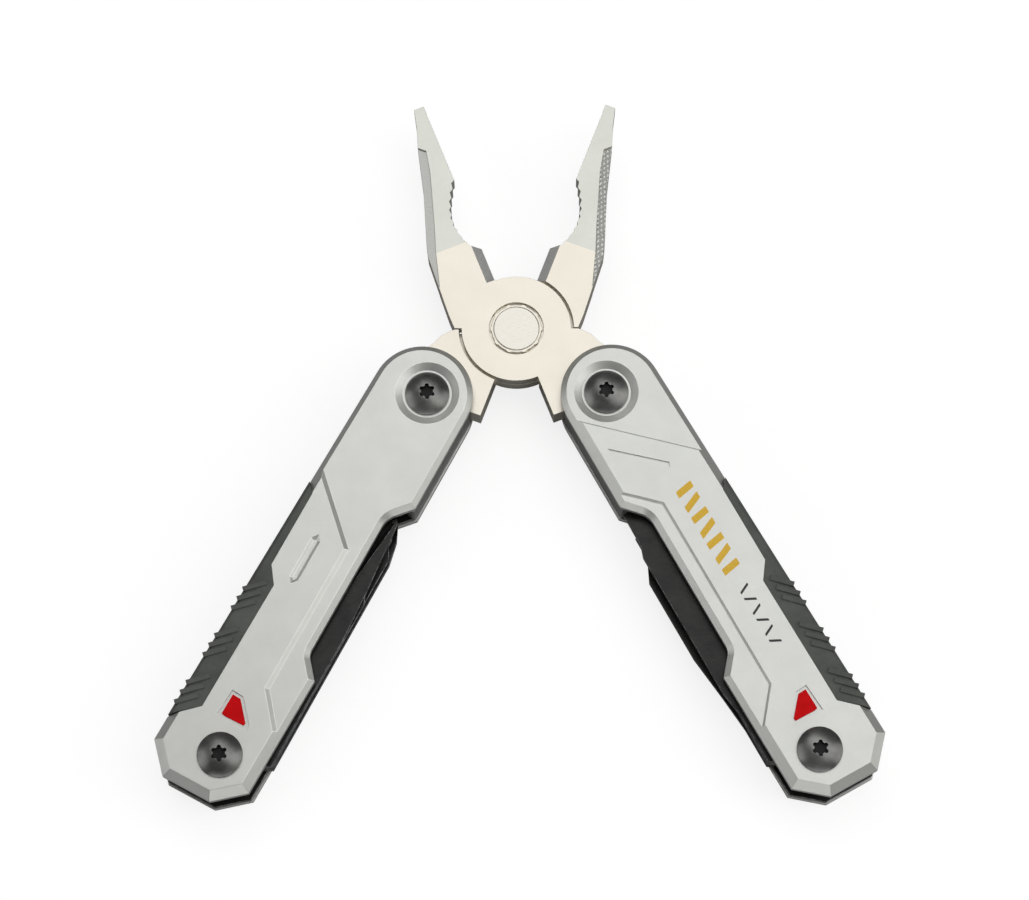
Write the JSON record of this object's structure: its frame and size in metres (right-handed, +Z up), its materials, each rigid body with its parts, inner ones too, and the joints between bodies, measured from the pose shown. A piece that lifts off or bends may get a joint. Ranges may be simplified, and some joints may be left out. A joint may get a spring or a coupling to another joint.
{
  "type": "folding multi tool",
  "caption": "Pocket multi tool with long-nose pliers whose two folding handles carry folding tools on each side.",
  "frame": {"origin": "middle of the outline, on the flat surface that the tool lies on", "axes": "+Z up out of the front of the tool as it lies on its back, +Y towards the jaws, +X to the right handle"},
  "size_m": [0.1484, 0.1521, 0.0187],
  "materials": {
    "plier_steel": "bead-blasted, nickel tint",
    "rivet_steel": "satin",
    "cover_metal": "die-cast, satin",
    "black_steel": "black oxide, satin",
    "grip_rubber": "matt, finely ribbed",
    "marker_enamel": "gloss enamel",
    "bolster_steel": "brushed",
    "screw_black": "black, semi-gloss",
    "washer_bronze": "satin",
    "tool_black": "black oxide, semi-gloss"
  },
  "bodies": {
    "plier_pivot": {"plier_rivet": "rivet_steel", "rivet_rings": "rivet_steel"},
    "front_half": {"front_plier_half": "plier_steel"},
    "rear_half": {"rear_plier_half": "plier_steel"},
    "left_handle": {"left_front_cover": "cover_metal", "left_back_cover": "cover_metal", "left_front_liner": "black_steel", "left_back_liner": "black_steel", "left_front_grip": "grip_rubber", "left_back_grip": "grip_rubber", "left_markers": "marker_enamel", "left_bolster": "bolster_steel", "left_end_spacer": "black_steel", "left_pivot_screw": "screw_black", "left_pivot_barrel": "screw_black", "left_axle_screw": "screw_black", "left_axle_barrel": "screw_black", "left_washers": "washer_bronze"},
    "right_handle": {"right_front_cover": "cover_metal", "right_back_cover": "cover_metal", "right_front_liner": "black_steel", "right_back_liner": "black_steel", "right_front_grip": "grip_rubber", "right_back_grip": "grip_rubber", "right_markers": "marker_enamel", "right_bolster": "bolster_steel", "right_end_spacer": "black_steel", "right_pivot_screw": "screw_black", "right_pivot_barrel": "screw_black", "right_axle_screw": "screw_black", "right_axle_barrel": "screw_black", "right_washers": "washer_bronze"},
    "awl": {"left_awl": "tool_black"},
    "phillips_driver": {"left_phillips_driver": "tool_black"},
    "saw": {"left_saw": "tool_black"},
    "plain_knife": {"left_plain_knife": "tool_black"},
    "flat_driver": {"right_flat_driver": "tool_black"},
    "can_opener": {"right_can_opener": "tool_black"},
    "file": {"right_file": "tool_black"},
    "serrated_knife": {"right_serrated_knife": "tool_black"}
  },
  "joints": [
    {"name": "jaws_close_with_fold", "type": "hinge", "parent": "plier_pivot", "child": "front_half", "pos_m": [0, 0.02481, 0.009], "axis": [0, 0, 1], "range_deg": [-42.05, 0]},
    {"name": "plier_hinge", "type": "hinge", "parent": "plier_pivot", "child": "rear_half", "pos_m": [0, 0.02481, 0.009], "axis": [0, 0, 1], "range_deg": [0, 42]},
    {"name": "left_handle_fold", "type": "hinge", "parent": "rear_half", "child": "left_handle", "pos_m": [-0.01875, 0.00945, 0.009], "axis": [0, 0, 1], "range_deg": [-170.26, 0]},
    {"name": "right_handle_fold", "type": "hinge", "parent": "front_half", "child": "right_handle", "pos_m": [0.01875, 0.00945, 0.009], "axis": [0, 0, 1], "range_deg": [0, 170.26]},
    {"name": "awl_pivot", "type": "hinge", "parent": "left_handle", "child": "awl", "pos_m": [-0.06058, -0.06683, 0.009], "axis": [0, 0, -1], "range_deg": [0, 180]},
    {"name": "phillips_driver_pivot", "type": "hinge", "parent": "left_handle", "child": "phillips_driver", "pos_m": [-0.06058, -0.06683, 0.009], "axis": [0, 0, -1], "range_deg": [0, 180]},
    {"name": "saw_pivot", "type": "hinge", "parent": "left_handle", "child": "saw", "pos_m": [-0.06058, -0.06683, 0.009], "axis": [0, 0, -1], "range_deg": [0, 180]},
    {"name": "plain_knife_pivot", "type": "hinge", "parent": "left_handle", "child": "plain_knife", "pos_m": [-0.06058, -0.06683, 0.009], "axis": [0, 0, -1], "range_deg": [0, 180]},
    {"name": "flat_driver_pivot", "type": "hinge", "parent": "right_handle", "child": "flat_driver", "pos_m": [0.06058, -0.06683, 0.009], "axis": [0, 0, 1], "range_deg": [0, 180]},
    {"name": "can_opener_pivot", "type": "hinge", "parent": "right_handle", "child": "can_opener", "pos_m": [0.06058, -0.06683, 0.009], "axis": [0, 0, 1], "range_deg": [0, 180]},
    {"name": "file_pivot", "type": "hinge", "parent": "right_handle", "child": "file", "pos_m": [0.06058, -0.06683, 0.009], "axis": [0, 0, 1], "range_deg": [0, 180]},
    {"name": "serrated_knife_pivot", "type": "hinge", "parent": "right_handle", "child": "serrated_knife", "pos_m": [0.06058, -0.06683, 0.009], "axis": [0, 0, 1], "range_deg": [0, 180]}
  ],
  "couplings": [
    {"joint": "jaws_close_with_fold", "follows": "left_handle_fold", "ratio": 0.24668},
    {"joint": "right_handle_fold", "follows": "left_handle_fold", "ratio": -1}
  ]
}
